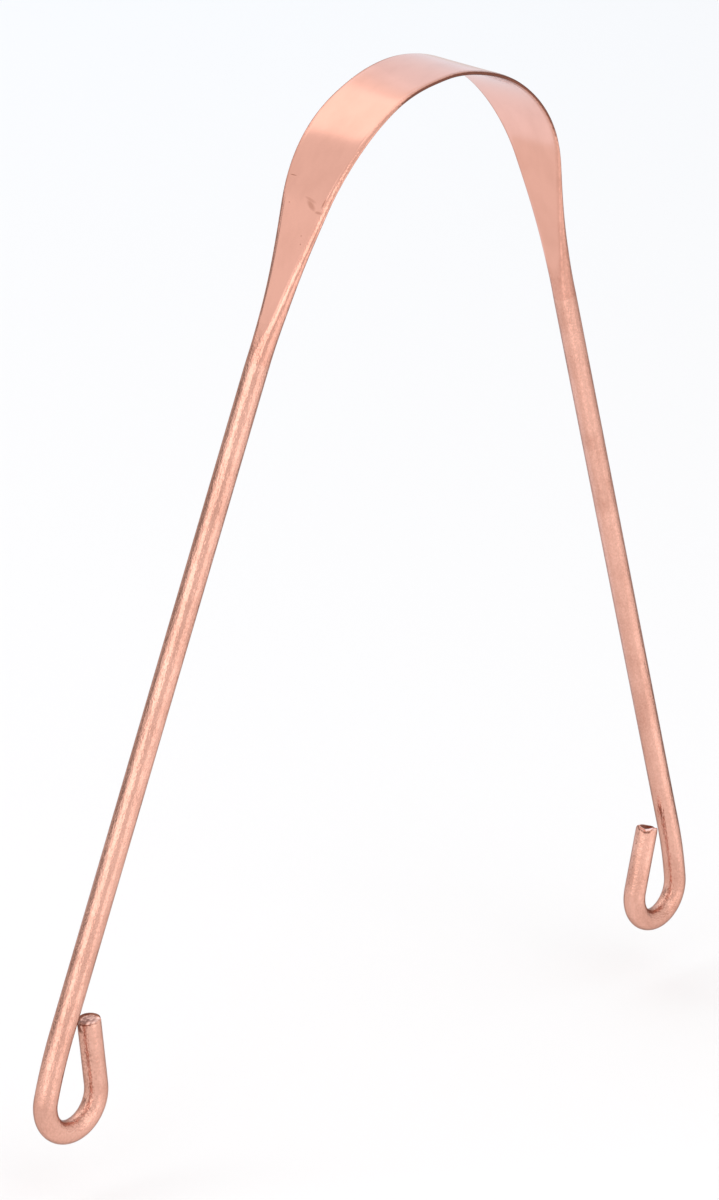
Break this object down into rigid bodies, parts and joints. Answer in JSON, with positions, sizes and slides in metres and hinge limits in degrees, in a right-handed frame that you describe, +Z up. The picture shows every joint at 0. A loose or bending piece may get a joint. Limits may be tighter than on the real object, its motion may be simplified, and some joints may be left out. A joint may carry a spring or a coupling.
{
  "type": "tongue scraper",
  "caption": "Bow-shaped tongue scraper: a rolled flat blade swelling into two leaning round arms, each ending in a bent finger loop.",
  "frame": {"origin": "on the plane that the two finger loops touch, midway between the arms and in the middle of the strip's width", "axes": "+Z up from the finger loops to the blade, X from the left arm to the right arm, Y across the width of the blade"},
  "size_m": [0.1238, 0.0106, 0.128],
  "materials": {
    "rolled_copper": "satin, rolled",
    "drawn_copper": "satin, drawn"
  },
  "bodies": {
    "crown": {"scraping_blade": "rolled_copper"},
    "left_handle": {"left_shoulder": "rolled_copper", "left_arm": "drawn_copper", "left_loop_lead": "drawn_copper", "left_finger_loop": "drawn_copper", "left_cropped_tail": "drawn_copper"},
    "right_handle": {"right_shoulder": "rolled_copper", "right_arm": "drawn_copper", "right_loop_lead": "drawn_copper", "right_finger_loop": "drawn_copper", "right_cropped_tail": "drawn_copper"}
  },
  "joints": [
    {"name": "left_handle_flex", "type": "hinge", "parent": "crown", "child": "left_handle", "pos_m": [-0.01021, 0, 0.12545], "axis": [0, -1, 0], "range_deg": [-6, 10], "stiffness_Nm_per_rad": 0.8},
    {"name": "right_handle_flex", "type": "hinge", "parent": "crown", "child": "right_handle", "pos_m": [0.01021, 0, 0.12545], "axis": [0, 1, 0], "range_deg": [-6, 10], "stiffness_Nm_per_rad": 0.8}
  ]
}
